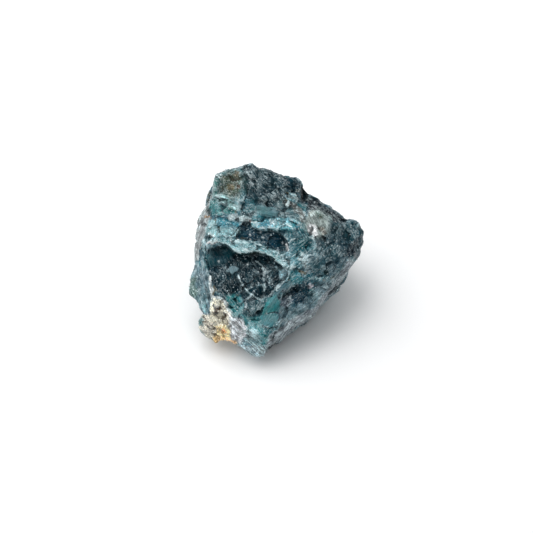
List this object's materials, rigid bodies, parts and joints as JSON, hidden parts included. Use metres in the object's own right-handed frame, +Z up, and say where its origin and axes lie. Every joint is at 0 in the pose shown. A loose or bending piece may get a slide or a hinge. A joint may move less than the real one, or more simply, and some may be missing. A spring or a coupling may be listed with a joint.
{
  "type": "rough apatite stone",
  "caption": "Rough blue-green apatite lump, broken on every side, with stepped ledges and hollows across its face, that rests on a small flat spot",
  "frame": {"origin": "middle of the flat spot that the stone rests on", "axes": "+Z up from the resting surface, +X to the right of the broken face, which leans back from +Z towards -Y"},
  "size_m": [0.0413, 0.0409, 0.0312],
  "materials": {
    "apatite": "rough broken mineral, glassy on fresh breaks"
  },
  "bodies": {
    "root": {"apatite_stone": "apatite"}
  },
  "joints": []
}
